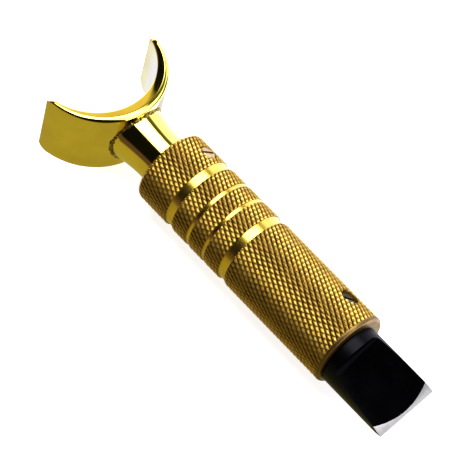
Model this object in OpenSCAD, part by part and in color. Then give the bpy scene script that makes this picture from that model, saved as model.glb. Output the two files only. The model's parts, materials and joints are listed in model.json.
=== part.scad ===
// Swivel knife for carving leather.
// The knife lies on its side: its long axis runs along X, the blade points to +X
// and the finger saddle is at -X. Z is up, and the saddle's lowest corner touches z = 0.

/* [Barrel] */
// Diameter over the knurl of the barrel
barrel_d = 14; // [13:0.1:15]
// Length of the barrel
barrel_len = 44.6; // [43:0.1:48]
// Size of the chamfer on the top edge of the barrel
top_chamfer = 0.3; // [0.1:0.05:0.5]
// Radius of the rounded edge at the blade end
end_round = 0.6; // [0.3:0.1:1]
// Width of each of the two smooth grooves
groove_w = 1.7; // [1.2:0.1:2]
// Depth of each of the two smooth grooves
groove_depth = 0.35; // [0.2:0.05:0.5]
// Distance from the top edge to the first smooth groove
groove_1_at = 6.85; // [6.5:0.05:7.2]
// Distance from the top edge to the second smooth groove
groove_2_at = 19.95; // [19:0.05:21]
// Width of each of the two narrow grooves between them
narrow_groove_w = 0.7; // [0.5:0.05:0.9]
// Depth of each of the two narrow grooves
narrow_groove_depth = 0.3; // [0.2:0.05:0.4]
// Bore that the bearing sleeve slides in
sleeve_bore_d = 10; // [9.8:0.05:10.2]
// Depth of that bore
sleeve_bore_depth = 18.2; // [18:0.1:20]

/* [Finger saddle] */
// Distance across the tips of the two horns
saddle_span = 23.4; // [21:0.1:25]
// Height of the saddle from the stem to the tips of the horns
saddle_depth = 11.65; // [11:0.05:12.5]
// Thickness of the saddle in its middle
saddle_thick = 2.85; // [2.2:0.05:3.2]
// Thickness of the horns at their tips
tip_thick = 0.8; // [0.6:0.05:1.2]
// Width of the saddle, along the finger
saddle_w = 13.3; // [12:0.1:14]
// Radius of the corners of the horns
corner_r = 2; // [1:0.1:3]
// Angle that the saddle is turned about the long axis
saddle_roll = 5.4; // [0:0.1:8]

/* [Stem and spindle] */
// Diameter of the polished stem
stem_d = 9.2; // [9:0.05:9.6]
// Length of stem that shows between the saddle and the barrel
stem_shows = 7.55; // [7:0.05:9]
// How far the stem reaches into the barrel
stem_inside = 1.5; // [1:0.1:1.6]
// How much the stem widens, in radius, where it meets the saddle
stem_flare = 0.6; // [0.2:0.05:0.8]
// Diameter of the steel spindle
spindle_d = 4; // [3.9:0.05:4.1]
// Width of the braze bead
bead_w = 0.5; // [0.3:0.05:0.7]

/* [Bearings] */
// Outer diameter of the ball bearings
bearing_d = 8; // [7.9:0.05:8.1]
// Width of each ball bearing
bearing_w = 3; // [2.8:0.1:3]
// Diameter of the balls
ball_d = 1.2; // [1.1:0.05:1.25]
// Number of balls in each bearing
ball_count = 8; // [6:1:9]

/* [Set screws] */
// Thread diameter of both set screws
screw_d = 3; // [2.5:0.1:3]
// Distance from the top edge of the barrel to the height screw
height_screw_at = 4.3; // [4:0.1:4.6]
// Distance from the blade end of the barrel to the blade screw
blade_screw_at = 5.55; // [5:0.05:7]
// Angle of both screws about the long axis
screw_roll = 38; // [20:1:60]

/* [Blade] */
// Diameter of the shank that the barrel grips
shank_d = 6.35; // [6:0.01:6.5]
// Length of that shank
shank_len = 18; // [14:0.5:20]
// Diameter of the blade's head
head_d = 11.4; // [10:0.1:12]
// How far the blade stands out of the barrel
blade_shows = 14.1; // [13:0.1:16]
// Distance that the head stands off the axis, away from the screws
head_offset = 0.6; // [0:0.05:0.8]
// Angle that the blade is turned about the long axis
blade_roll = -12.5; // [-30:0.5:30]
// Angle between each honed face and the middle plane of the blade
hone_angle = 30; // [25:1:35]
// Angle between each hollow-ground face and that plane
grind_angle = 13.5; // [12:0.5:15]

/* [Hidden] */

$fn = 96;
over = 1;                        // how far a cutting shape overshoots what it cuts
run_fit = 0.03;                  // radial clearance of parts that run or slide in each other
face_gap = 0.02;                 // clearance between flat faces that slide on each other

// Stations along the long axis, as the centre of the overall length is x = 0
overall_len = saddle_depth + stem_shows + barrel_len + blade_shows;
tip_x = -overall_len / 2;
saddle_x = tip_x + saddle_depth;
top_x = saddle_x + stem_shows;
end_x = top_x + barrel_len;
edge_x = end_x + blade_shows;
barrel_r = barrel_d / 2;

// Saddle: two arcs whose centres lie on the long axis
tip_r = tip_thick / 2;
tip_line_x = tip_x + tip_r;
outer_sag = saddle_depth - tip_r;
outer_half = saddle_span / 2;
saddle_outer_r = (outer_sag * outer_sag + outer_half * outer_half) / (2 * outer_sag);
inner_sag = outer_sag - saddle_thick;
inner_half = outer_half - tip_thick;
saddle_inner_r = (inner_sag * inner_sag + inner_half * inner_half) / (2 * inner_sag);
outer_arc_x = tip_line_x + outer_sag - saddle_outer_r;
inner_arc_x = tip_line_x + inner_sag - saddle_inner_r;

// Height of the long axis above the plane that the saddle's lowest corner touches
corner_from_arc = tip_x + corner_r - outer_arc_x;
corner_y = sqrt(saddle_outer_r * saddle_outer_r - corner_from_arc * corner_from_arc);
axis_h = saddle_w / 2 * cos(saddle_roll) + corner_y * sin(saddle_roll);

// Stem
stem_r = stem_d / 2;
flare_len = 5.5;
flare_curve_r = (flare_len * flare_len + stem_flare * stem_flare) / (2 * stem_flare);
spindle_press = 6;               // length of spindle pressed into the stem

// Bearing cartridge, from the stem's end face towards the blade
sleeve_wall = 0.97;
sleeve_r = bearing_d / 2 + sleeve_wall;
sleeve_x = top_x + stem_inside + 0.5;
sleeve_len = 15.2;
lip_w = 0.8;
bearing_1_x = sleeve_x + lip_w;
spacer_len = 6;
bearing_2_x = bearing_1_x + bearing_w + spacer_len;
ring_w = 0.6;
snap_x = bearing_2_x + bearing_w;
snap_groove_depth = 0.4;
inner_race_r = 2.5;
outer_race_r = bearing_d / 2 - 0.5;
race_groove_r = ball_d / 2 + 0.05;
pitch_r = (inner_race_r + outer_race_r) / 2;
cage_w = 1.8;
cage_clear = 0.15;
clip_r = 3.1;
clip_groove_r = 1.6;
spindle_end_x = snap_x + ring_w + 1;

// Height adjustment: the pad of the height screw rides in a keyway in the sleeve
height_travel = 8.5;
keyway_depth = 0.45;
pad_r = 1;
pad_thick = 0.66;
pad_flange = 0.16;
keyway_r = pad_r + run_fit;
pad_low_r = sleeve_bore_d / 2 - run_fit - keyway_depth + face_gap;
screw_r = screw_d / 2;
screw_hole_r = screw_r + run_fit;
height_screw_x = top_x + height_screw_at;
height_screw_low_r = pad_low_r + pad_thick + face_gap;
height_screw_len = 1.62;
slot_w = 0.5;
slot_depth = 0.7;

// Blade screw
blade_screw_x = end_x - blade_screw_at;
blade_screw_len = 3.2;
blade_screw_low_r = shank_d / 2 + face_gap;

// Blade
head_r = head_d / 2;
head_gap = 0.05;                 // clearance between the head and the end of the barrel
face_start = 1.7;                // distance from the barrel to the start of the ground faces
shoulder_x = end_x + face_start;
wheel_r = 38;                    // radius of the wheel that hollows the faces
edge_web = 0.17;                 // half thickness of the hollow web, carried on to the edge
shoulder_web = edge_web + (edge_x - shoulder_x) * tan(grind_angle);

// Children are drawn about the long axis, with their own Z along +X
module along_axis(x) {
    translate([x, 0, axis_h]) rotate([0, 90, 0]) children();
}

// Children are drawn outwards along Z at an angle about the long axis, from the axis itself
module radial(x, angle) {
    translate([x, 0, axis_h]) rotate([-angle, 0, 0]) children();
}

// A flat ring about the long axis
module ring(x, length, outer, inner) {
    along_axis(x) difference() {
        cylinder(h = length, r = outer);
        translate([0, 0, -over]) cylinder(h = length + 2 * over, r = inner);
    }
}

// The notch that a turning tool leaves, as a profile to revolve
module square_groove(at, width, depth) {
    translate([barrel_r - depth, at]) square([depth + over, width]);
}

// Half section of the barrel's outside
module barrel_profile() {
    band = (groove_2_at - groove_1_at - groove_w) / 3;
    difference() {
        union() {
            square([barrel_r, barrel_len - end_round]);
            square([barrel_r - end_round, barrel_len]);
            translate([barrel_r - end_round, barrel_len - end_round]) circle(end_round);
        }
        square_groove(groove_1_at, groove_w, groove_depth);
        square_groove(groove_2_at, groove_w, groove_depth);
        for (n = [1, 2])
            square_groove(groove_1_at + groove_w + n * band - narrow_groove_w / 2,
                          narrow_groove_w, narrow_groove_depth);
        polygon([
            [barrel_r - top_chamfer, 0],
            [barrel_r - top_chamfer, -over],
            [barrel_r + over, -over],
            [barrel_r + over, top_chamfer],
            [barrel_r, top_chamfer]
        ]);
    }
}

module barrel() {
    color("darkgoldenrod") difference() {
        along_axis(top_x) rotate_extrude() barrel_profile();
        along_axis(top_x - over) cylinder(h = sleeve_bore_depth + over, d = sleeve_bore_d);
        along_axis(top_x) cylinder(h = barrel_len + over, r = shank_d / 2 + run_fit);
        radial(height_screw_x, screw_roll) cylinder(h = barrel_r + over, r = screw_hole_r);
        radial(blade_screw_x, screw_roll) cylinder(h = barrel_r + over, r = screw_hole_r);
    }
}

// A long slot with round ends, cut down into the sleeve
module keyway() {
    height = keyway_depth + over;
    cylinder(h = height, r = keyway_r);
    translate([height_travel, 0, 0]) cylinder(h = height, r = keyway_r);
    translate([0, -keyway_r, 0]) cube([height_travel, 2 * keyway_r, height]);
}

// A tube with a lip at the stem end, a groove for the snap ring and a keyway outside
module bearing_sleeve() {
    color("silver") difference() {
        along_axis(sleeve_x) cylinder(h = sleeve_len, r = sleeve_r);
        along_axis(sleeve_x - over) cylinder(h = lip_w + 2 * over, r = outer_race_r);
        along_axis(bearing_1_x) cylinder(h = sleeve_len, d = bearing_d);
        along_axis(snap_x) cylinder(h = ring_w, r = bearing_d / 2 + snap_groove_depth);
        radial(height_screw_x, screw_roll)
            translate([0, 0, sleeve_r - keyway_depth]) keyway();
    }
}

// An outer race, with its groove for the balls
module outer_race(x) {
    color("gainsboro") along_axis(x) rotate_extrude() difference() {
        translate([outer_race_r, 0]) square([bearing_d / 2 - outer_race_r, bearing_w]);
        translate([pitch_r, bearing_w / 2]) circle(race_groove_r);
    }
}

module inner_race(x) {
    color("gainsboro") along_axis(x) rotate_extrude() difference() {
        translate([spindle_d / 2, 0]) square([inner_race_r - spindle_d / 2, bearing_w]);
        translate([pitch_r, bearing_w / 2]) circle(race_groove_r);
    }
}

module upper_outer_race() {
    outer_race(bearing_1_x);
}

module lower_outer_race() {
    outer_race(bearing_2_x);
}

module upper_inner_race() {
    inner_race(bearing_1_x);
}

module lower_inner_race() {
    inner_race(bearing_2_x);
}

module outer_spacer() {
    color("darkgray") ring(bearing_1_x + bearing_w, spacer_len, bearing_d / 2, outer_race_r);
}

module inner_spacer() {
    color("darkgray") ring(bearing_1_x + bearing_w, spacer_len, inner_race_r, spindle_d / 2);
}

// Fills the space between the stem's end face and the first inner race
module thrust_collar() {
    start = top_x + stem_inside;
    color("darkgray") ring(start, bearing_1_x - start, inner_race_r, spindle_d / 2);
}

// An open spring ring: the gap lets it be squeezed into its groove
module open_ring(x, outer, inner, gap) {
    difference() {
        ring(x, ring_w, outer, inner);
        translate([x - over, -gap / 2, axis_h]) cube([ring_w + 2 * over, gap, outer + over]);
    }
}

module sleeve_snap_ring() {
    color("dimgray") open_ring(snap_x, bearing_d / 2 + snap_groove_depth, outer_race_r, 2);
}

module spindle_clip() {
    color("dimgray") open_ring(snap_x, clip_r, clip_groove_r, 2.4);
}

// The ground steel pin that turns in the bearings, grooved for its clip
module spindle() {
    start = top_x + stem_inside - spindle_press;
    length = spindle_end_x - start;
    color("lightgray") difference() {
        along_axis(start) cylinder(h = length, d = spindle_d);
        ring(snap_x, ring_w, spindle_d, clip_groove_r);
    }
}

module balls(x) {
    color("whitesmoke")
        for (i = [0 : ball_count - 1])
            radial(x + bearing_w / 2, i * 360 / ball_count)
                translate([0, 0, pitch_r]) sphere(d = ball_d, $fn = 32);
}

// A one-piece cage: a band between the races with a round pocket for each ball
module cage(x) {
    color("goldenrod") difference() {
        ring(x + (bearing_w - cage_w) / 2, cage_w, outer_race_r - cage_clear, inner_race_r + cage_clear);
        for (i = [0 : ball_count - 1])
            radial(x + bearing_w / 2, i * 360 / ball_count)
                cylinder(h = outer_race_r + over, r = race_groove_r, $fn = 32);
    }
}

module upper_balls() {
    balls(bearing_1_x);
}

module upper_cage() {
    cage(bearing_1_x);
}

module lower_balls() {
    balls(bearing_2_x);
}

module lower_cage() {
    cage(bearing_2_x);
}

// The round outside of the saddle, grown by some amount, as a bar along the finger
module saddle_bar(grow, width) {
    translate([outer_arc_x, 0, 0])
        cylinder(h = width, r = saddle_outer_r + grow, center = true);
}

// Crescent between the two arcs, closed by a round tip on each horn
module saddle_profile() {
    difference() {
        translate([outer_arc_x, 0]) circle(saddle_outer_r, $fn = 180);
        translate([inner_arc_x, 0]) circle(saddle_inner_r, $fn = 180);
        translate([tip_line_x - 2 * saddle_outer_r, -saddle_span])
            square([2 * saddle_outer_r, 2 * saddle_span]);
    }
    for (side = [-1, 1])
        translate([tip_line_x, side * (outer_half - tip_r)]) circle(tip_r, $fn = 32);
}

// Side view of the saddle: a plate whose two corners at the tips are round
module saddle_plan() {
    reach = saddle_depth + 2;
    translate([tip_x + corner_r, -saddle_w / 2]) square([reach, saddle_w]);
    translate([tip_x, corner_r - saddle_w / 2]) square([reach, saddle_w - 2 * corner_r]);
    for (side = [-1, 1])
        translate([tip_x + corner_r, side * (saddle_w / 2 - corner_r)]) circle(corner_r);
}

module yoke_saddle() {
    color("gold") radial(0, saddle_roll) intersection() {
        linear_extrude(height = saddle_w + 2 * over, center = true) saddle_profile();
        rotate([90, 0, 0])
            linear_extrude(height = saddle_span + 2 * over, center = true) saddle_plan();
    }
}

// Stem with its flare, drawn from the saddle's lowest point inwards by `back`
module stem_blank(grow) {
    back = 3;
    translate([saddle_x - back, 0, 0]) rotate([0, 90, 0]) {
        cylinder(h = back, r = stem_r + stem_flare + grow);
        translate([0, 0, back]) rotate_extrude() {
            square([stem_r + grow, stem_shows + stem_inside]);
            difference() {
                square([stem_r + stem_flare + grow, flare_len]);
                translate([stem_r + grow + flare_curve_r, flare_len]) circle(flare_curve_r, $fn = 360);
            }
        }
    }
}

module yoke_stem() {
    color("gold") difference() {
        radial(0, saddle_roll) difference() {
            stem_blank(0);
            saddle_bar(0, saddle_w + 2 * over);
        }
        along_axis(top_x + stem_inside - spindle_press)
            cylinder(h = spindle_press + over, d = spindle_d);
    }
}

// Bead of brazing metal in the corner where the stem meets the saddle
module braze_bead() {
    color("darkolivegreen") radial(0, saddle_roll) difference() {
        intersection() {
            stem_blank(bead_w);
            saddle_bar(bead_w, saddle_w);
        }
        stem_blank(0);
        saddle_bar(0, saddle_w + 2 * over);
    }
}

// The key under the height screw, with a flange that the screw's hole guides
module height_pad() {
    color("khaki") radial(height_screw_x, screw_roll) translate([0, 0, pad_low_r]) {
        cylinder(h = pad_thick, r = pad_r);
        translate([0, 0, pad_thick - pad_flange]) cylinder(h = pad_flange, r = screw_r);
    }
}

// A headless screw with a slot across its outer end
module set_screw(x, low_r, length, slot_turn) {
    radial(x, screw_roll) translate([0, 0, low_r]) difference() {
        cylinder(h = length, r = screw_r);
        rotate([0, 0, slot_turn]) translate([-screw_d, -slot_w / 2, length - slot_depth])
            cube([2 * screw_d, slot_w, slot_depth + over]);
    }
}

module height_screw() {
    color("gold") set_screw(height_screw_x, height_screw_low_r, height_screw_len, 77);
}

module blade_screw() {
    color("dimgray") set_screw(blade_screw_x, blade_screw_low_r, blade_screw_len, 60);
}

// One hollow face: a wheel's rim sinks towards the edge, and its side leaves the shoulder
module hollow_cutter() {
    translate([shoulder_x, 0, shoulder_web]) rotate([0, grind_angle, 0])
        translate([0, 0, wheel_r]) rotate([0, 90, 0])
            cylinder(h = 2 * blade_shows, r = wheel_r, $fn = 360);
}

// One honed face, from the edge upwards
module hone_cutter() {
    translate([edge_x, 0, 0]) rotate([0, hone_angle, 0])
        translate([-blade_shows, -head_d, 0]) cube([2 * blade_shows, 2 * head_d, head_d]);
}

module blade() {
    color("#2b2b2e") difference() {
        union() {
            along_axis(end_x - shank_len) cylinder(h = shank_len + face_start / 2, d = shank_d);
            radial(0, screw_roll) translate([end_x + head_gap, 0, -head_offset])
                rotate([0, 90, 0]) cylinder(h = blade_shows - head_gap + over, r = head_r);
        }
        for (side = [0, 180])
            radial(0, screw_roll) translate([0, 0, -head_offset])
                rotate([side + screw_roll - blade_roll, 0, 0]) {
                    hollow_cutter();
                    hone_cutter();
                }
    }
}

barrel();
bearing_sleeve();
upper_outer_race();
lower_outer_race();
outer_spacer();
sleeve_snap_ring();
yoke_saddle();
yoke_stem();
braze_bead();
spindle();
thrust_collar();
upper_inner_race();
inner_spacer();
lower_inner_race();
spindle_clip();
upper_balls();
upper_cage();
lower_balls();
lower_cage();
height_pad();
height_screw();
blade_screw();
blade();
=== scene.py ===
"""Looks for a leather carver's swivel knife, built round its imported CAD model."""

import json
import math

import bmesh
import bpy
import numpy as np
from mathutils import Matrix, Vector, noise


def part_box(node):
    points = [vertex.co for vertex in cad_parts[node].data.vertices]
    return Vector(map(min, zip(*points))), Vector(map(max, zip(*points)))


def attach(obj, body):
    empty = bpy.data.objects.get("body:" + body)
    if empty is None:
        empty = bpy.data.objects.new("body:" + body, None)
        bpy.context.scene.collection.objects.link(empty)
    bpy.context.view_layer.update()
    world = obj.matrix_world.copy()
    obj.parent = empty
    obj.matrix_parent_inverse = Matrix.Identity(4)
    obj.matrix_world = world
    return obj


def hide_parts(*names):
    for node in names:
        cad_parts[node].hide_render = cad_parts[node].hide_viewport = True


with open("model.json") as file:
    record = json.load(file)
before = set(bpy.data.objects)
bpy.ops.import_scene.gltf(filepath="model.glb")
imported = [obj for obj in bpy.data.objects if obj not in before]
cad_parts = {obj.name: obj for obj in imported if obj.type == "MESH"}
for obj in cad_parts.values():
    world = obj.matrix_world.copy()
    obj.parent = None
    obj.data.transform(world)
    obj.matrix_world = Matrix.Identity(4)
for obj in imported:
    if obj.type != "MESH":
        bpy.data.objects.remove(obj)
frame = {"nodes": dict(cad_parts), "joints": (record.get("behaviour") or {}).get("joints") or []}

MM = 0.001
TAU = 2 * math.pi

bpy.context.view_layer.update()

# Stations and radii, read from the frame
BARREL_LO, BARREL_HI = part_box("barrel")
SADDLE_LO, SADDLE_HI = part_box("yoke_saddle")
STEM_END_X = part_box("yoke_stem")[1].x
BLADE_LO, BLADE_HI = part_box("blade")
TOP_X, END_X = BARREL_LO.x, BARREL_HI.x
BARREL_R = (BARREL_HI.z - BARREL_LO.z) / 2
AXIS_Z = (BARREL_HI.z + BARREL_LO.z) / 2
TIP_X = SADDLE_LO.x
SADDLE_X = SADDLE_HI.x
EDGE_X = BLADE_HI.x

JOINTS = {joint["name"]: joint for joint in frame["joints"]}


def roll_of(axis):
    """Angle of a radial direction about the long axis, from +Z towards +Y."""
    return math.atan2(axis[1], axis[2])


SCREW_ROLL = roll_of(JOINTS["height_screw_turn"]["axis"])
SADDLE_ROLL = math.radians(5.4)
BLADE_ROLL = math.radians(-12.5)


def about_axis(x, radius, angle):
    """A point at a radius and an angle about the long axis."""
    return Vector((x, radius * math.sin(angle), AXIS_Z + radius * math.cos(angle)))


def upright(height, radius, angle):
    """A point at a height, a radius and an angle about Z."""
    return Vector((radius * math.cos(angle), radius * math.sin(angle), height))


def turned(roll):
    """The frame whose Z stands out from the long axis at an angle from +Z towards +Y."""
    return Matrix.Translation((0, 0, AXIS_Z)) @ Matrix.Rotation(-roll, 4, "X")


# ---------------------------------------------------------------- mesh helpers

def new_object(name, mesh):
    """An object in the scene that shows the mesh."""
    obj = bpy.data.objects.new(name, mesh)
    bpy.context.scene.collection.objects.link(obj)
    return obj


def mesh_from(name, points, faces, materials=(), face_materials=None, matrix=None):
    """A mesh from points and faces, moved by the matrix."""
    mesh = bpy.data.meshes.new(name)
    mesh.from_pydata([tuple(p) for p in points], [], [tuple(f) for f in faces])
    for material in materials:
        mesh.materials.append(material)
    if face_materials is not None:
        mesh.polygons.foreach_set("material_index", np.asarray(face_materials, dtype=np.int32))
    if matrix is not None:
        mesh.transform(matrix)
    mesh.validate()
    return mesh


def face_outwards(mesh):
    """Points every normal of a closed mesh outwards."""
    work = bmesh.new()
    work.from_mesh(mesh)
    bmesh.ops.recalc_face_normals(work, faces=work.faces)
    work.to_mesh(mesh)
    work.free()


def smooth(obj, angle=35):
    """Smooth shading that keeps every edge sharper than angle."""
    mesh = obj.data
    mesh.polygons.foreach_set("use_smooth", np.ones(len(mesh.polygons), dtype=bool))
    mesh.set_sharp_from_angle(angle=math.radians(angle))


def ring_faces(rows, columns, closed_rows=False):
    """Quads that join rows of points, each row a closed ring."""
    faces = []
    for i in range(rows if closed_rows else rows - 1):
        upper, lower = i * columns, ((i + 1) % rows) * columns
        for j in range(columns):
            k = (j + 1) % columns
            faces.append((upper + j, upper + k, lower + k, lower + j))
    return faces


def lathe(outline, columns, place):
    """Points and faces of an outline of (height, radius) pairs turned about a line.

    place gives the point at a height, a radius and an angle. Radius 0 closes an end.
    """
    points, faces, rows = [], [], []
    for height, radius in outline:
        count = columns if radius else 1
        rows.append(range(len(points), len(points) + count))
        points += [place(height, radius, TAU * n / columns) for n in range(count)]
    for low, high in zip(rows, rows[1:]):
        for n in range(columns):
            k = (n + 1) % columns
            if len(low) == 1:
                faces.append((low[0], high[k], high[n]))
            elif len(high) == 1:
                faces.append((low[n], low[k], high[0]))
            else:
                faces.append((low[n], low[k], high[k], high[n]))
    return points, faces


def closed_mesh(name, points, faces, material, matrix=None):
    """A mesh of one material whose normals point outwards."""
    mesh = mesh_from(name, points, faces, [material], matrix=matrix)
    face_outwards(mesh)
    return mesh


def box_mesh(name, low, high, material, matrix):
    """A block between two corners."""
    corners = [(x, y, z) for x in (low[0], high[0]) for y in (low[1], high[1]) for z in (low[2], high[2])]
    faces = [(0, 1, 3, 2), (4, 6, 7, 5), (0, 4, 5, 1), (2, 3, 7, 6), (0, 2, 6, 4), (1, 5, 7, 3)]
    return closed_mesh(name, corners, faces, material, matrix)


def revolve(name, outline, columns, material):
    """Revolves an outline of (x, radius) pairs about the long axis."""
    obj = new_object(name, closed_mesh(name, *lathe(outline, columns, about_axis), material))
    smooth(obj)
    return obj


def arc(centre, radius, start, stop, steps):
    """(x, radius) pairs along an arc, with angles from the +x direction."""
    cx, cr = centre
    return [
        (cx + radius * math.cos(start + (stop - start) * i / steps),
         cr + radius * math.sin(start + (stop - start) * i / steps))
        for i in range(steps + 1)
    ]


def apply_modifiers(obj):
    """Makes what the modifiers show the object's own mesh."""
    bpy.context.view_layer.update()
    evaluated = obj.evaluated_get(bpy.context.evaluated_depsgraph_get())
    mesh = bpy.data.meshes.new_from_object(evaluated)
    obj.modifiers.clear()
    old, obj.data = obj.data, mesh
    bpy.data.meshes.remove(old)


def cut(obj, *cutters):
    """Takes the cutters away from the object, and removes them."""
    for cutter in cutters:
        modifier = obj.modifiers.new("cut", "BOOLEAN")
        modifier.operation = "DIFFERENCE"
        modifier.solver = "EXACT"
        modifier.material_mode = "TRANSFER"
        modifier.object = cutter
    apply_modifiers(obj)
    for cutter in cutters:
        bpy.data.objects.remove(cutter)


# ------------------------------------------------------------ material helpers

class Nodes:
    """A short way to write a node tree."""

    def __init__(self, tree):
        self.tree = tree

    def add(self, kind, inputs=None, **settings):
        """A new node with its settings, and its inputs set from values or sockets."""
        node = self.tree.nodes.new(kind)
        for key, value in settings.items():
            setattr(node, key, value)
        for key, value in (inputs or {}).items():
            if isinstance(value, bpy.types.NodeSocket):
                self.tree.links.new(value, node.inputs[key])
            else:
                node.inputs[key].default_value = value
        return node

    def math(self, operation, a, b=0.0):
        return self.add("ShaderNodeMath", {0: a, 1: b}, operation=operation).outputs[0]

    def noise(self, vector, scale, detail=3.0, roughness=0.5):
        return self.add("ShaderNodeTexNoise", {
            "Vector": vector, "Scale": scale, "Detail": detail, "Roughness": roughness}).outputs["Fac"]

    def spread(self, value, low, high, to_low=0.0, to_high=1.0):
        """The value between low and high, mapped to another range and held inside it."""
        return self.add("ShaderNodeMapRange", {
            "Value": value, "From Min": low, "From Max": high,
            "To Min": to_low, "To Max": to_high}).outputs["Result"]

    def blend(self, factor, a, b):
        """A blend of two colour sockets."""
        return self.add("ShaderNodeMix", {0: factor, 6: a, 7: b}, data_type="RGBA").outputs[2]

    def mix(self, factor, a, b):
        """A blend of two plain colours or colour sockets."""
        a, b = (c if isinstance(c, bpy.types.NodeSocket) else (*c, 1.0) for c in (a, b))
        return self.blend(factor, a, b)

    def bump(self, height, strength, distance):
        return self.add("ShaderNodeBump", {
            "Height": height, "Strength": strength, "Distance": distance}).outputs["Normal"]


def material(name):
    """A new material with its nodes, its shader and its place in the row frame."""
    made = bpy.data.materials.new(name)
    made.use_nodes = True
    nodes = Nodes(made.node_tree)
    shader = made.node_tree.nodes["Principled BSDF"]
    place = nodes.add("ShaderNodeTexCoord").outputs["Object"]
    return made, nodes, shader, place


def link(nodes, shader, **sockets):
    """Sets a shader's sockets from values or other sockets. The names have underscores."""
    for key, value in sockets.items():
        name = key.replace("_", " ").title().replace("Ior", "IOR")
        if isinstance(value, bpy.types.NodeSocket):
            nodes.tree.links.new(value, shader.inputs[name])
        else:
            shader.inputs[name].default_value = value


def stretched(nodes, place, scale):
    """The place, scaled by a different amount along each axis."""
    return nodes.add("ShaderNodeMapping", {"Vector": place, "Scale": scale}).outputs["Vector"]


def radius_at(nodes, place):
    """Distance from the long axis."""
    from_axis = nodes.add("ShaderNodeVectorMath", {0: place, 1: (0, 0, AXIS_Z)}, operation="SUBTRACT")
    flat = nodes.add(
        "ShaderNodeVectorMath", {0: from_axis.outputs[0], 1: (0, 1, 1)}, operation="MULTIPLY")
    return nodes.add(
        "ShaderNodeVectorMath", {0: flat.outputs[0]}, operation="LENGTH").outputs["Value"]


# ------------------------------------------------------------------- materials

def polished_brass():
    """Lacquered brass, polished, with faint smears along the knife."""
    made, nodes, shader, place = material("polished_brass")
    cloud = nodes.noise(place, 160, 4)
    smear = nodes.noise(stretched(nodes, place, (90, 700, 700)), 1.0, 5, 0.6)
    colour = nodes.mix(nodes.spread(cloud, 0.35, 0.65), (0.90, 0.72, 0.04), (0.76, 0.57, 0.02))
    rough = nodes.math("ADD", nodes.spread(smear, 0.35, 0.75, 0.0, 0.05), 0.035)
    scratch = nodes.noise(stretched(nodes, place, (600, 6000, 6000)), 1.0, 2)
    link(nodes, shader, base_color=colour, metallic=1.0, roughness=rough, coat_weight=1.0,
         coat_ior=1.9, coat_roughness=0.03, normal=nodes.bump(scratch, 0.05, 0.00002))
    return made


def turned_brass():
    """Smooth turned brass with fine rings round the axis."""
    made, nodes, shader, place = material("turned_brass")
    rings = nodes.noise(stretched(nodes, place, (9000, 120, 120)), 1.0, 3)
    cloud = nodes.noise(place, 300, 4)
    colour = nodes.mix(nodes.spread(cloud, 0.35, 0.7), (0.80, 0.58, 0.07), (0.60, 0.40, 0.05))
    rough = nodes.spread(cloud, 0.3, 0.8, 0.22, 0.29)
    link(nodes, shader, base_color=colour, metallic=1.0, roughness=rough, coat_weight=0.5,
         coat_ior=1.6, coat_roughness=0.12, normal=nodes.bump(rings, 0.12, 0.00003))
    return made


def rim_brass():
    """Dull brass of the rounded end, rubbed by use."""
    made, nodes, shader, place = material("rim_brass")
    cloud = nodes.noise(place, 500, 4, 0.6)
    link(nodes, shader, base_color=nodes.mix(nodes.spread(cloud, 0.35, 0.65), (0.21, 0.13, 0.04),
                                             (0.14, 0.085, 0.028)),
         metallic=1.0, roughness=nodes.spread(cloud, 0.3, 0.8, 0.4, 0.5),
         normal=nodes.bump(cloud, 0.1, 0.00003))
    return made


def knurled_brass():
    """Aged brass: bright worn crests, darker towards the bottom of the valleys."""
    made, nodes, shader, place = material("knurled_brass")
    height = nodes.spread(radius_at(nodes, place), BARREL_R - KNURL_DEPTH, BARREL_R)
    mottle = nodes.noise(place, 420, 5, 0.65)
    grain = nodes.noise(place, 5200, 3, 0.6)
    level = nodes.math("ADD", height, nodes.spread(mottle, 0.2, 0.8, -0.28, 0.28))
    crest_colour = nodes.mix(nodes.spread(mottle, 0.35, 0.65), (0.74, 0.47, 0.08), (0.54, 0.33, 0.055))
    # The colour darkens to near black towards the bottom of the valleys, by depth with random noise added.
    colour = nodes.mix(nodes.spread(level, 0.1, 0.7), (0.04, 0.018, 0.007), crest_colour)
    rough = nodes.spread(level, 0.0, 0.9, 0.5, 0.3)
    link(nodes, shader, base_color=colour, metallic=1.0, roughness=rough,
         normal=nodes.bump(grain, 0.25, 0.00003))
    return made


def bored_brass():
    """Brass of the bores and holes, with the marks of the tool."""
    made, nodes, shader, place = material("bored_brass")
    rings = nodes.noise(stretched(nodes, place, (5000, 60, 60)), 1.0, 3)
    link(nodes, shader, base_color=nodes.mix(rings, (0.42, 0.28, 0.07), (0.6, 0.42, 0.1)),
         metallic=1.0, roughness=nodes.spread(rings, 0.3, 0.7, 0.3, 0.45),
         normal=nodes.bump(rings, 0.3, 0.00004))
    return made


def brazing():
    """Rough brazing metal, tarnished nearly black, with brassy high spots."""
    made, nodes, shader, place = material("braze")
    lumps = nodes.noise(place, 2600, 5, 0.7)
    scale = nodes.noise(place, 900, 3)
    colour = nodes.mix(nodes.spread(lumps, 0.42, 0.62), (0.02, 0.014, 0.007), (0.42, 0.32, 0.06))
    link(nodes, shader, base_color=colour, metallic=nodes.spread(scale, 0.35, 0.6, 0.7, 1.0),
         roughness=nodes.spread(lumps, 0.3, 0.7, 0.5, 0.28), normal=nodes.bump(lumps, 0.6, 0.00008))
    return made


def steel(name, light, dark, rough, along, bumpy=0.08):
    """Machined steel whose fine lines follow the stretch."""
    made, nodes, shader, place = material(name)
    lines = nodes.noise(stretched(nodes, place, along), 1.0, 4, 0.6)
    cloud = nodes.noise(place, 500, 3)
    link(nodes, shader, base_color=nodes.mix(nodes.spread(lines, 0.3, 0.7), dark, light),
         metallic=1.0, roughness=nodes.spread(cloud, 0.3, 0.7, *rough),
         normal=nodes.bump(lines, bumpy, 0.00002))
    return made


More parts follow.
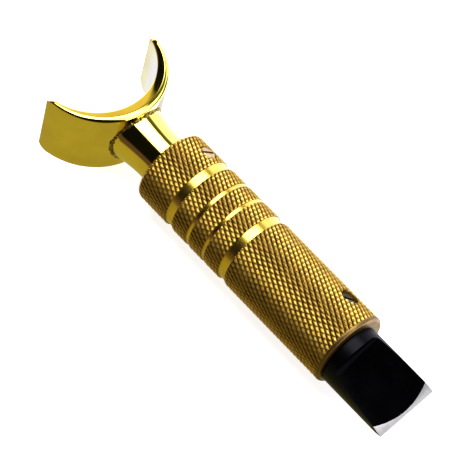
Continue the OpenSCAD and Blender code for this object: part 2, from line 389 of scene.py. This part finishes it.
def cage_brass():
    """Pressed brass of the cages and of the height pad."""
    made, nodes, shader, place = material("cage_brass")
    cloud = nodes.noise(place, 900, 4)
    link(nodes, shader, base_color=nodes.mix(cloud, (0.62, 0.42, 0.13), (0.8, 0.6, 0.2)),
         metallic=1.0, roughness=nodes.spread(cloud, 0.3, 0.7, 0.22, 0.36),
         normal=nodes.bump(cloud, 0.05, 0.00002))
    return made


def screw_brass():
    """Pale worn brass of the height screw."""
    made, nodes, shader, place = material("screw_brass")
    marks = nodes.noise(stretched(nodes, place, (2600, 900, 900)), 1.0, 4, 0.6)
    link(nodes, shader, base_color=nodes.mix(nodes.spread(marks, 0.35, 0.65), (0.30, 0.19, 0.08),
                                             (0.62, 0.45, 0.22)),
         metallic=1.0, roughness=nodes.spread(marks, 0.3, 0.7, 0.3, 0.45),
         normal=nodes.bump(marks, 0.2, 0.00003))
    return made


def black_oxide(name, rough, shine):
    """Blackened steel with faint lines. shine is how strongly it reflects."""
    made, nodes, shader, place = material(name)
    lines = nodes.noise(stretched(nodes, place, (400, 5000, 5000)), 1.0, 4, 0.6)
    cloud = nodes.noise(place, 350, 4)
    colour = nodes.mix(nodes.spread(cloud, 0.35, 0.7), (0.0004, 0.0004, 0.0006), (0.001, 0.001, 0.0013))
    link(nodes, shader, base_color=colour, metallic=0.0,
         roughness=nodes.spread(cloud, 0.3, 0.7, *rough), normal=nodes.bump(lines, 0.06, 0.00002))
    shader.inputs["Specular IOR Level"].default_value = shine
    shader.inputs["Specular Tint"].default_value = (0.86, 0.88, 1.0, 1.0)
    return made


def honed_steel():
    """Bright steel with hone lines square to the edge."""
    made, nodes, shader, place = material("honed_steel")
    lines = nodes.noise(stretched(nodes, place, (900, 16000, 900)), 1.0, 3, 0.6)
    colour = nodes.mix(nodes.spread(lines, 0.3, 0.7), (0.50, 0.48, 0.475), (0.66, 0.645, 0.64))
    link(nodes, shader, base_color=colour, metallic=1.0,
         roughness=nodes.spread(lines, 0.3, 0.7, 0.3, 0.42), normal=nodes.bump(lines, 0.15, 0.00002))
    return made


# ---------------------------------------------------------------------- barrel

KNURL_STARTS = 48
KNURL_PERIOD = 1.64 * MM
KNURL_DEPTH = 0.24 * MM
KNURL_STEPS = 8                  # mesh steps in one period, each way
CREST = 0.92                     # share of the full depth at which the crests are worn flat
SHALLOW = 0.24                   # how much shallower the valleys of the second family are
COLUMNS = KNURL_STARTS * KNURL_STEPS
GROOVE_W, GROOVE_DEPTH = 1.7 * MM, 0.35 * MM
NARROW_W, NARROW_DEPTH = 0.7 * MM, 0.3 * MM
TOP_CHAMFER = 0.3 * MM
END_ROUND = 0.6 * MM
SLEEVE_BORE_R, SLEEVE_BORE_DEPTH = 5 * MM, 18.2 * MM
SHANK_BORE_R = 3.205 * MM
GROOVE_1, GROOVE_2 = TOP_X + 6.85 * MM, TOP_X + 19.95 * MM
BAND = (GROOVE_2 - GROOVE_1 - GROOVE_W) / 3
GROOVES = [(GROOVE_1, GROOVE_W, GROOVE_DEPTH)]
GROOVES += [(GROOVE_1 + GROOVE_W + BAND * n - NARROW_W / 2, NARROW_W, NARROW_DEPTH) for n in (1, 2)]
GROOVES += [(GROOVE_2, GROOVE_W, GROOVE_DEPTH)]
BAND_BEVEL = 0.08 * MM
SCREW_HOLE_R = 1.53 * MM


def saw(t):
    """0 in a valley of the knurl, rising to 1 half a period away."""
    return 1 - np.abs(2 * (t % 1.0) - 1)


def knurl_radii(x, angles):
    """Radius of the knurled surface at one station, all the way round."""
    turn = KNURL_STARTS * angles / TAU
    step = (x - TOP_X) / KNURL_PERIOD
    height = np.minimum(saw(turn + step), SHALLOW + (1 - SHALLOW) * saw(turn - step))
    height = np.minimum(height / CREST, 1.0)
    return BARREL_R - KNURL_DEPTH * (1 - height)


def band_rows(start, stop, angles):
    """Rows of one knurled band, bevelled down at both ends."""
    grid = KNURL_PERIOD / KNURL_STEPS
    first = math.ceil((start - TOP_X + BAND_BEVEL) / grid + 0.2)
    last = math.floor((stop - TOP_X - BAND_BEVEL) / grid - 0.2)
    stations = [start, start + BAND_BEVEL]
    stations += [TOP_X + n * grid for n in range(first, last + 1)]
    stations += [stop - BAND_BEVEL, stop]
    rows = []
    for x in stations:
        drop = BAND_BEVEL if x in (start, stop) else 0.0
        rows.append((np.full(COLUMNS, x), np.minimum(knurl_radii(x, angles), BARREL_R - drop)))
    return rows


def plain_row(x, radius):
    """A row of one station and one radius, all the way round."""
    return (np.full(COLUMNS, x), np.full(COLUMNS, radius))


def barrel_rows(angles):
    """Rows right round the wall of the barrel, each with the material of the strip after it."""
    knurled, turned_face, bored, rimmed = range(4)
    wall_step = 0.03 * MM
    bore_chamfer, sleeve_chamfer = 0.3 * MM, 0.2 * MM
    bore_end = TOP_X + SLEEVE_BORE_DEPTH
    rows = []

    def add(new, strip):
        rows.extend((row, strip) for row in new)

    add([plain_row(TOP_X, BARREL_R - TOP_CHAMFER)], turned_face)
    band_start = TOP_X + TOP_CHAMFER
    for start, width, depth in GROOVES:
        floor_r = BARREL_R - depth
        add(band_rows(band_start, start, angles), knurled)
        stop = start + width
        add([plain_row(start + wall_step, floor_r + BAND_BEVEL),
             plain_row(start + BAND_BEVEL, floor_r),
             plain_row(stop - BAND_BEVEL, floor_r),
             plain_row(stop - wall_step, floor_r + BAND_BEVEL)], turned_face)
        band_start = stop
    add(band_rows(band_start, END_X - END_ROUND, angles), knurled)
    rim = arc((END_X - END_ROUND, BARREL_R - END_ROUND), END_ROUND, math.pi / 2, 0, 8)
    add([plain_row(x, r) for x, r in rim], rimmed)
    add([plain_row(END_X, SHANK_BORE_R + bore_chamfer),
         plain_row(END_X - bore_chamfer, SHANK_BORE_R),
         plain_row(bore_end, SHANK_BORE_R),
         plain_row(bore_end, SLEEVE_BORE_R),
         plain_row(TOP_X + sleeve_chamfer, SLEEVE_BORE_R)], bored)
    add([plain_row(TOP_X, SLEEVE_BORE_R + sleeve_chamfer)], turned_face)
    return rows


def barrel_faces(rows):
    """Triangles, split along the knurl's valleys where a valley crosses a cell."""
    grid = KNURL_PERIOD / KNURL_STEPS
    faces, strips = [], []
    for i, ((x, _), strip) in enumerate(rows):
        here, there = i * COLUMNS, ((i + 1) % len(rows)) * COLUMNS
        level = round((x[0] - TOP_X) / grid)
        for j in range(COLUMNS):
            k = (j + 1) % COLUMNS
            a, b, c, d = here + j, here + k, there + k, there + j
            if (j + level + 1) % KNURL_STEPS == 0:
                faces += [(a, b, d), (b, c, d)]
            else:
                faces += [(a, b, c), (a, c, d)]
            strips += [strip, strip]
    return faces, strips


def hole_cutter(x, material):
    """A radial cylinder with a chamfer where it leaves the barrel."""
    chamfer_start, top = BARREL_R - 0.32 * MM, BARREL_R + 0.4 * MM
    top_r = SCREW_HOLE_R + 0.1 * MM
    outline = [(0, 0), (0, SCREW_HOLE_R), (chamfer_start, SCREW_HOLE_R), (top, top_r), (top, 0)]
    points, faces = lathe(outline, 64, upright)
    matrix = Matrix.Translation((x, 0, 0)) @ turned(SCREW_ROLL)
    return new_object("hole", closed_mesh("hole", points, faces, material, matrix))


def build_barrel(knurled, smooth_brass, bored, rimmed):
    """The barrel with its knurl, grooves, bores and screw holes. Only the knurl has flat facets."""
    angles = TAU * np.arange(COLUMNS) / COLUMNS
    rows = barrel_rows(angles)
    points = []
    for (x, radius), _ in rows:
        points += list(zip(x, radius * np.sin(angles), AXIS_Z + radius * np.cos(angles)))
    faces, strips = barrel_faces(rows)
    mesh = mesh_from("barrel_knurled", points, faces, [knurled, smooth_brass, bored, rimmed], strips)
    face_outwards(mesh)
    obj = new_object("barrel_knurled", mesh)
    for joint in ("height_screw_turn", "blade_screw_turn"):
        cut(obj, hole_cutter(JOINTS[joint]["pos_m"][0], bored))
    smooth(obj, 30)
    flat = np.array([p.material_index == 0 for p in obj.data.polygons])
    obj.data.polygons.foreach_set("use_smooth", ~flat)
    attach(obj, "barrel")
    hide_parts("barrel")


# ---------------------------------------------------------------------- saddle

SADDLE_THICK, TIP_THICK = 2.85 * MM, 0.8 * MM
SADDLE_W, CORNER_R = 13.3 * MM, 2 * MM
SADDLE_SPAN = 23.4 * MM
SADDLE_DEPTH = SADDLE_X - TIP_X
TIP_R = TIP_THICK / 2
OUTER_SAG = SADDLE_DEPTH - TIP_R
OUTER_HALF = SADDLE_SPAN / 2
OUTER_R = (OUTER_SAG ** 2 + OUTER_HALF ** 2) / (2 * OUTER_SAG)
INNER_SAG = OUTER_SAG - SADDLE_THICK
INNER_HALF = OUTER_HALF - TIP_THICK
INNER_R = (INNER_SAG ** 2 + INNER_HALF ** 2) / (2 * INNER_SAG)
OUTER_CENTRE_X = TIP_X + TIP_R + OUTER_SAG - OUTER_R
INNER_CENTRE_X = TIP_X + TIP_R + INNER_SAG - INNER_R
CROWN = 0.36                      # share of the wall's thickness at which its rims are highest
OUTER_FALL, INNER_FALL = 0.6 * MM, 0.55 * MM    # how far the rims round over to each face
INNER_SLOPE = math.tan(math.radians(6.5))      # how the rims lean from the crown to the inner face


def wall_at(angle):
    """Outer point and inner point of the saddle's wall on one ray from the outer arc's centre."""
    ray = Vector((math.cos(angle), math.sin(angle)))
    outer = Vector((OUTER_CENTRE_X, 0)) + ray * OUTER_R
    shift = Vector((OUTER_CENTRE_X - INNER_CENTRE_X, 0))
    along = -shift.dot(ray) + math.sqrt(shift.dot(ray) ** 2 - shift.length_squared + INNER_R ** 2)
    return outer, Vector((OUTER_CENTRE_X, 0)) + ray * along


def wall_section(thick, width):
    """Section of the wall: (depth inwards from the outer face, place along the finger)."""
    crown, half = CROWN * thick, width / 2
    outer_fall = min(OUTER_FALL, 0.5 * thick)
    inner_fall = min(INNER_FALL, 0.4 * thick)
    inner_lean = INNER_SLOPE * (thick - crown)
    steps, flats = 14, 12
    rim = []
    for n in range(steps):
        turn = math.pi / 2 * n / steps
        rim.append((crown * (1 - math.cos(turn)), half - outer_fall * (1 - math.sin(turn))))
    for n in range(steps + 1):
        turn = math.pi / 2 * n / steps
        drop = inner_lean * math.sin(turn) + inner_fall * (1 - math.cos(turn))
        rim.append((crown + (thick - crown) * math.sin(turn), half - drop))
    inner_half, outer_half = half - inner_lean - inner_fall, half - outer_fall
    spots = [1 - 2 * n / flats for n in range(1, flats)]
    inner_face = [(thick, inner_half * spot) for spot in spots]
    outer_face = [(0.0, -outer_half * spot) for spot in spots]
    return rim + inner_face + [(depth, -place) for depth, place in reversed(rim)] + outer_face


def build_saddle(brass):
    """The crescent: wall sections from horn to horn, closed by a rounded cap at each tip."""
    arc_steps, cap_steps, cap_narrowing = 120, 10, 0.12
    end = math.acos((TIP_X + TIP_R - OUTER_CENTRE_X) / OUTER_R)
    rows = []
    for n in range(-arc_steps, arc_steps + 1):
        angle = end * n / arc_steps
        outer, inner = wall_at(angle)
        inwards = (inner - outer).normalized()
        thick = (inner - outer).length
        corner = max(0.0, 1 - (outer.x - TIP_X) / CORNER_R)
        width = SADDLE_W - 2 * CORNER_R * (1 - math.sqrt(max(0.0, 1 - corner ** 2)))
        rows.append([(outer + inwards * depth, place) for depth, place in wall_section(thick, width)])
    count = len(rows[0])
    for last, sign in ((rows[0], -1), (rows[-1], 1)):
        centre = sum((p for p, _ in last), Vector((0, 0))) / count
        cap = []
        for n in range(1, cap_steps + 1):
            turn = math.pi / 2 * n / cap_steps
            shrink = math.cos(turn)
            reach = Vector((TIP_R * math.sin(turn), 0))
            narrow = 1 - (1 - shrink) * cap_narrowing
            cap.append([(centre + (p - centre) * shrink - reach, f * narrow) for p, f in last])
        rows = cap[::-1] + rows if sign < 0 else rows + cap
    points = [(p.x, p.y, f) for row in rows for p, f in row]
    faces = ring_faces(len(rows), count)
    faces += [tuple(range(count)), tuple(range(len(points) - 1, len(points) - 1 - count, -1))]
    mesh = closed_mesh("saddle_polished", points, faces, brass, turned(SADDLE_ROLL))
    obj = new_object("saddle_polished", mesh)
    smooth(obj, 50)
    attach(obj, "yoke")
    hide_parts("yoke_saddle")


# -------------------------------------------------------------- stem and braze

STEM_R, STEM_FLARE, FLARE_LEN = 4.6 * MM, 0.6 * MM, 5.5 * MM
FLARE_CURVE_R = (FLARE_LEN ** 2 + STEM_FLARE ** 2) / (2 * STEM_FLARE)
BEAD_R = 0.27 * MM


def stem_radius(x):
    """Radius of the stem: straight, then opening along an arc towards the saddle."""
    into = max(0.0, FLARE_LEN - max(0.0, x - SADDLE_X))
    return STEM_R + FLARE_CURVE_R - math.sqrt(FLARE_CURVE_R ** 2 - into ** 2)


def on_saddle(radius, angle):
    """Station where a line along the stem meets the round outside of the saddle."""
    across = radius * math.sin(angle)
    return OUTER_CENTRE_X + math.sqrt(OUTER_R ** 2 - across ** 2)


def build_stem(brass):
    """The flared stem, from the saddle's outside to the end that holds the spindle."""
    columns, rings = 192, 48
    top_r = stem_radius(SADDLE_X)
    chamfer, end_hole_r = 0.15 * MM, 2.2 * MM
    rows = []
    for share in (0.02, 0.3, 0.6, 0.85):
        rows.append([(on_saddle(top_r * share, TAU * j / columns), top_r * share)
                     for j in range(columns)])
    for n in range(rings + 1):
        row = []
        for j in range(columns):
            start = on_saddle(top_r, TAU * j / columns)
            x = start + (STEM_END_X - chamfer - start) * n / rings
            row.append((x, stem_radius(x)))
        rows.append(row)
    rows.append([(STEM_END_X, STEM_R - chamfer)] * columns)
    rows.append([(STEM_END_X, end_hole_r)] * columns)
    points = [(x, r * math.sin(TAU * j / columns), r * math.cos(TAU * j / columns))
              for row in rows for j, (x, r) in enumerate(row)]
    faces = ring_faces(len(rows), columns)
    faces += [tuple(range(columns)), tuple(range(len(points) - columns, len(points)))]
    mesh = closed_mesh("stem_polished", points, faces, brass, turned(SADDLE_ROLL))
    obj = new_object("stem_polished", mesh)
    smooth(obj)
    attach(obj, "yoke")
    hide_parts("yoke_stem")


def build_bead(braze):
    """A lumpy bead in the corner between stem and saddle."""
    around, sides = 260, 14
    waves, lumps, grains = 7, 16, 2200       # how fine the wander, the bulges and the grit are
    path_r = stem_radius(SADDLE_X) + 0.1 * MM
    points = []
    for i in range(around):
        angle = TAU * i / around
        wander = noise.noise(Vector((waves * math.cos(angle), waves * math.sin(angle), 0.0)))
        bulge = noise.noise(Vector((lumps * math.cos(angle), lumps * math.sin(angle), 3.7)))
        path = path_r + 0.12 * MM * wander
        outwards = Vector((0, math.sin(angle), math.cos(angle)))
        centre = Vector((on_saddle(path, angle) + 0.06 * MM * wander, 0, 0)) + outwards * path
        size = BEAD_R * (1 + 0.7 * bulge)
        for j in range(sides):
            turn = TAU * j / sides
            spot = centre + size * (math.cos(turn) * outwards + math.sin(turn) * Vector((1, 0, 0)))
            grit = noise.noise(spot * grains)
            points.append(spot + (spot - centre) * 0.35 * grit)
    faces = ring_faces(around, sides, closed_rows=True)
    mesh = closed_mesh("braze_lumps", points, faces, braze, turned(SADDLE_ROLL))
    obj = new_object("braze_lumps", mesh)
    smooth(obj, 60)
    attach(obj, "yoke")
    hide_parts("braze_bead")


# ----------------------------------------------------------------------- blade

HEAD_R, HEAD_OFFSET, HEAD_GAP = 5.7 * MM, 0.6 * MM, 0.05 * MM
SHANK_R = 3.175 * MM
FACE_START = 1.7 * MM
WHEEL_R, SHOULDER_ROUND = 38 * MM, 1.3 * MM
GRIND, HONE = math.radians(13.5), math.radians(30)
EDGE_WEB = 0.17 * MM
HEAD_SHIFT = Vector((0, -HEAD_OFFSET * math.sin(SCREW_ROLL), -HEAD_OFFSET * math.cos(SCREW_ROLL)))
SHOULDER_X = END_X + FACE_START
SHOULDER_WEB = EDGE_WEB + (EDGE_X - SHOULDER_X) * math.tan(GRIND)


def blade_frame(flip):
    """The frame whose Z stands out from one face of the blade."""
    roll = Matrix.Rotation(-BLADE_ROLL + (math.pi if flip else 0), 4, "X")
    return Matrix.Translation(HEAD_SHIFT + Vector((0, 0, AXIS_Z))) @ roll


def on_wheel(x, radius, angle):
    """A point on the wheel, whose lowest line lies at z = 0."""
    return Vector((x, radius * math.sin(angle), WHEEL_R - radius * math.cos(angle)))


def wheel_cutter(flip, material):
    """The grinding wheel: its rim hollows the face and its rounded corner leaves the shoulder."""
    length = 20 * MM
    corner = arc((SHOULDER_ROUND, WHEEL_R - SHOULDER_ROUND), SHOULDER_ROUND, math.pi, math.pi / 2, 10)
    outline = [(0, 0)] + corner + [(length, WHEEL_R), (length, 0)]
    points, faces = lathe(outline, 720, on_wheel)
    matrix = blade_frame(flip) @ Matrix.Translation((SHOULDER_X, 0, SHOULDER_WEB)) @ Matrix.Rotation(
        GRIND, 4, "Y")
    return new_object("wheel", closed_mesh("wheel", points, faces, material, matrix))


def hone_cutter(flip, material):
    """A block whose underside is the honed face."""
    reach, high = 20 * MM, 12 * MM
    matrix = blade_frame(flip) @ Matrix.Translation((EDGE_X, 0, 0)) @ Matrix.Rotation(HONE, 4, "Y")
    return new_object("hone", box_mesh("hone", (-reach, -reach, 0), (reach, reach, high), material, matrix))


def build_blade(black, hollow, honed, shank_steel):
    """The round head, ground and honed on two sides, and the shank that the blade screw holds."""
    head_chamfer, shank_chamfer = 0.15 * MM, 0.4 * MM
    past_edge = EDGE_X + 1 * MM
    head_lo = END_X + HEAD_GAP
    into_head = head_lo + 0.1 * MM
    head = revolve("blade_ground", [
        (head_lo, 0), (head_lo, HEAD_R - head_chamfer), (head_lo + head_chamfer, HEAD_R),
        (past_edge, HEAD_R), (past_edge, 0)], 256, black)
    head.data.transform(Matrix.Translation(HEAD_SHIFT))
    for flip in (False, True):
        cut(head, wheel_cutter(flip, hollow), hone_cutter(flip, honed))
    shank = revolve("blade_shank", [
        (BLADE_LO.x, 0), (BLADE_LO.x, SHANK_R - shank_chamfer), (BLADE_LO.x + shank_chamfer, SHANK_R),
        (head_lo - 0.2 * MM, SHANK_R), (into_head, SHANK_R), (into_head, 0)], 96, shank_steel)
    smooth(head, 25)
    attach(head, "blade")
    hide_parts("blade")
    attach(shank, "blade")


# ---------------------------------------------------------------------- screws

SCREW_R = 1.5 * MM
SCREW_CHAMFER = 0.28 * MM
THREAD_PITCH, THREAD_DEPTH, THREAD_FLANK = 0.5 * MM, 0.27 * MM, 0.42
SLOT_W, SLOT_DEPTH = 0.5 * MM, 0.7 * MM


def screw_radius(height, share, low, high):
    """Radius of a threaded flank, chamfered at both ends, at a share of the way round."""
    phase = (height / THREAD_PITCH - share) % 1.0
    groove = THREAD_DEPTH * max(0.0, 1 - abs(phase - 0.5) / THREAD_FLANK)
    return min(SCREW_R - groove, SCREW_R - SCREW_CHAMFER + min(height - low, high - height))


def build_screw(node, joint, slot_turn, made):
    """A headless slotted screw with a real thread form, as long as its CAD node."""
    axis = Vector((0, math.sin(SCREW_ROLL), math.cos(SCREW_ROLL)))
    heights = [(v.co - Vector((0, 0, AXIS_Z))).dot(axis) for v in frame["nodes"][node].data.vertices]
    low, high = min(heights), max(heights)
    sides, steps = 64, 12
    count = int((high - low) / THREAD_PITCH * steps)
    points = []
    for i in range(count + 1):
        height = low + (high - low) * i / count
        points += [upright(height, screw_radius(height, j / sides, low, high), TAU * j / sides)
                   for j in range(sides)]
    faces = ring_faces(count + 1, sides)
    faces += [tuple(range(sides)), tuple(range(len(points) - sides, len(points)))]
    matrix = Matrix.Translation((JOINTS[joint]["pos_m"][0], 0, 0)) @ turned(SCREW_ROLL)
    obj = new_object(node + "_slotted", closed_mesh(node + "_slotted", points, faces, made, matrix))
    reach = 2 * SCREW_R
    slot = box_mesh("slot", (-reach, -SLOT_W / 2, high - SLOT_DEPTH), (reach, SLOT_W / 2, high + 1 * MM),
                    made, matrix @ Matrix.Rotation(math.radians(slot_turn), 4, "Z"))
    cut(obj, new_object("slot", slot))
    smooth(obj, 30)
    body = JOINTS[joint]["child"]
    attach(obj, body)
    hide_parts(node)


# ------------------------------------------------------------- CAD nodes shown

def finish_cad(names, made):
    """Gives CAD nodes that stay as they are their material."""
    for name in names:
        node = frame["nodes"][name]
        node.data.materials.clear()
        node.data.materials.append(made)


# ----------------------------------------------------------- floor, light, view

# Angles in degrees, the distance in metres and the lens in millimetres
VIEW_AZIMUTH, VIEW_ELEVATION, VIEW_ROLL = 39.61, 58.28, 10.60
VIEW_DISTANCE, LENS = 0.550, 255.47
VIEW_TARGET = Vector((-0.0025, -0.00026, AXIS_Z))


def build_camera():
    """The camera at its angle round the knife."""
    azimuth, elevation, roll = (math.radians(v) for v in (VIEW_AZIMUTH, VIEW_ELEVATION, VIEW_ROLL))
    back = Vector((math.sin(azimuth) * math.cos(elevation),
                   -math.cos(azimuth) * math.cos(elevation), math.sin(elevation)))
    right = Vector((math.cos(azimuth), math.sin(azimuth), 0))
    up = back.cross(right)
    side = math.cos(roll) * right + math.sin(roll) * up
    top = -math.sin(roll) * right + math.cos(roll) * up
    data = bpy.data.cameras.new("camera")
    data.lens, data.sensor_width = LENS, 36
    data.clip_start, data.clip_end = 0.05, 20
    camera = bpy.data.objects.new("camera", data)
    camera.matrix_world = Matrix.Translation(VIEW_TARGET + back * VIEW_DISTANCE) @ Matrix(
        (side, top, back)).transposed().to_4x4()
    bpy.context.scene.collection.objects.link(camera)
    bpy.context.scene.camera = camera


def build_floor():
    """A plain pale floor under the knife."""
    reach = 3.0
    mesh = mesh_from("floor", [(-reach, -reach, 0), (reach, -reach, 0), (reach, reach, 0),
                               (-reach, reach, 0)], [(0, 1, 2, 3)])
    made, nodes, shader, place = material("pale_floor")
    cloud = nodes.noise(place, 9, 3)
    link(nodes, shader, base_color=nodes.mix(cloud, (0.93, 0.93, 0.93), (0.95, 0.95, 0.95)),
         roughness=0.9, emission_strength=0.85)
    shader.inputs["Emission Color"].default_value = (1, 1, 1, 1)
    mesh.materials.append(made)
    floor = new_object("floor", mesh)
    floor.visible_glossy = False


# What stands round the knife, in three rings. Each ring has a height: its angle from square to the
# long axis towards +X. Its tones are placed by angle about the axis, from straight up towards +Y.
SOFTBOX = (8.0, 8.0, 8.0)
PANEL = (3.6, 3.6, 3.8)
PAPER = (1.8, 1.85, 2.1)
TABLE = (0.45, 0.385, 0.10)
HAZE = (0.85, 0.82, 0.85)
WARM = (1.0, 0.80, 0.35)
WALL = (0.95, 1.03, 1.55)
DUSK = (0.12, 0.07, 0.08)
GAP = (0.12, 0.13, 0.08)
BLACK = (0.006, 0.006, 0.006)
LOW_RING = [
    (-180, WALL), (-155, WALL), (-140, TABLE), (-100, TABLE), (-85, DUSK), (-30, BLACK), (35, BLACK),
    (42, WARM), (90, WARM), (110, PANEL), (150, HAZE), (180, WALL)]
MAIN_RING = [
    (-180, TABLE), (-96, TABLE), (-90, DUSK), (-76, DUSK), (-70, BLACK), (-15, BLACK), (-11, SOFTBOX),
    (32, SOFTBOX), (36, GAP), (50, GAP), (56, PAPER), (125, PAPER), (140, HAZE), (158, HAZE),
    (170, TABLE), (180, TABLE)]
HIGH_RING = [
    (-180, TABLE), (-96, TABLE), (-80, DUSK), (-60, BLACK), (10, BLACK), (17, PANEL), (56, PANEL),
    (62, GAP), (92, GAP), (102, PANEL), (148, PANEL), (156, TABLE), (180, TABLE)]
LOW_EDGE, HIGH_EDGE = (-32, -26), (3, 8)


def ring(nodes, share, tones):
    """The tone at a share of the way round, from -180 to 180 degrees."""
    ramp = nodes.add("ShaderNodeValToRGB", {"Fac": share})
    elements = ramp.color_ramp.elements
    places = [(degrees + 180) / 360 for degrees, _ in tones]
    for place in places[1:-1]:
        elements.new(place)
    for element, (_, tone) in zip(elements, tones):
        element.color = (*(level / SOFTBOX[0] for level in tone), 1)
    return ramp.outputs["Color"]


def build_surround():
    """The rings of tones as light and reflections, and plain white behind the knife."""
    world = bpy.data.worlds.new("studio")
    world.use_nodes = True
    bpy.context.scene.world = world
    tree = world.node_tree
    tree.nodes.clear()
    nodes = Nodes(tree)
    way = nodes.add("ShaderNodeTexCoord").outputs["Generated"]
    parts = nodes.add("ShaderNodeSeparateXYZ", {0: way}).outputs
    share = nodes.spread(nodes.math("ARCTAN2", parts["Y"], parts["Z"]), -math.pi, math.pi)
    height = nodes.math("ARCSINE", parts["X"])
    above_low = nodes.spread(height, *(math.radians(edge) for edge in LOW_EDGE))
    above_main = nodes.spread(height, *(math.radians(edge) for edge in HIGH_EDGE))
    tone = nodes.blend(above_low, ring(nodes, share, LOW_RING), ring(nodes, share, MAIN_RING))
    tone = nodes.blend(above_main, tone, ring(nodes, share, HIGH_RING))
    seen = nodes.add("ShaderNodeLightPath").outputs["Is Camera Ray"]
    around = nodes.add("ShaderNodeBackground", {"Color": tone, "Strength": SOFTBOX[0]})
    behind = nodes.add("ShaderNodeBackground", {"Color": (1, 1, 1, 1), "Strength": 1.0})
    mixed = nodes.add("ShaderNodeMixShader", {
        0: seen, 1: around.outputs[0], 2: behind.outputs[0]})
    nodes.add("ShaderNodeOutputWorld", {"Surface": mixed.outputs[0]})


# ------------------------------------------------------------------------ build

brass, smooth_brass, bored = polished_brass(), turned_brass(), bored_brass()
black = black_oxide("black_oxide", (0.3, 0.38), 0.06)
hollow = black_oxide("ground_black_oxide", (0.14, 0.2), 0.015)
dark_steel = steel("screw_steel", (0.12, 0.075, 0.035), (0.02, 0.013, 0.008), (0.4, 0.55), (900, 900, 900))
ground = steel("ground_steel", (0.72, 0.72, 0.74), (0.6, 0.6, 0.62), (0.14, 0.24), (7000, 90, 90))
race = steel("bearing_steel", (0.74, 0.74, 0.76), (0.66, 0.66, 0.68), (0.08, 0.16), (9000, 120, 120))
ball = steel("ball_steel", (0.84, 0.84, 0.86), (0.8, 0.8, 0.82), (0.03, 0.06), (300, 300, 300), 0.02)
spring = steel("spring_steel", (0.2, 0.2, 0.21), (0.1, 0.1, 0.11), (0.32, 0.45), (500, 500, 500))
sleeve = steel("sleeve_steel", (0.68, 0.68, 0.69), (0.5, 0.5, 0.52), (0.2, 0.32), (6000, 80, 80))

build_barrel(knurled_brass(), smooth_brass, bored, rim_brass())
build_saddle(brass)
build_stem(brass)
build_bead(brazing())
build_blade(black, hollow, honed_steel(), spring)
build_screw("height_screw", "height_screw_turn", 77, screw_brass())
build_screw("blade_screw", "blade_screw_turn", 60, dark_steel)
finish_cad(["bearing_sleeve", "outer_spacer", "inner_spacer", "thrust_collar"], sleeve)
finish_cad(["upper_outer_race", "lower_outer_race", "upper_inner_race", "lower_inner_race"], race)
finish_cad(["upper_balls", "lower_balls"], ball)
finish_cad(["upper_cage", "lower_cage", "height_pad"], cage_brass())
finish_cad(["sleeve_snap_ring", "spindle_clip"], spring)
finish_cad(["spindle"], ground)

build_camera()
build_floor()
build_surround()
bpy.context.scene.view_settings.view_transform = "Standard"
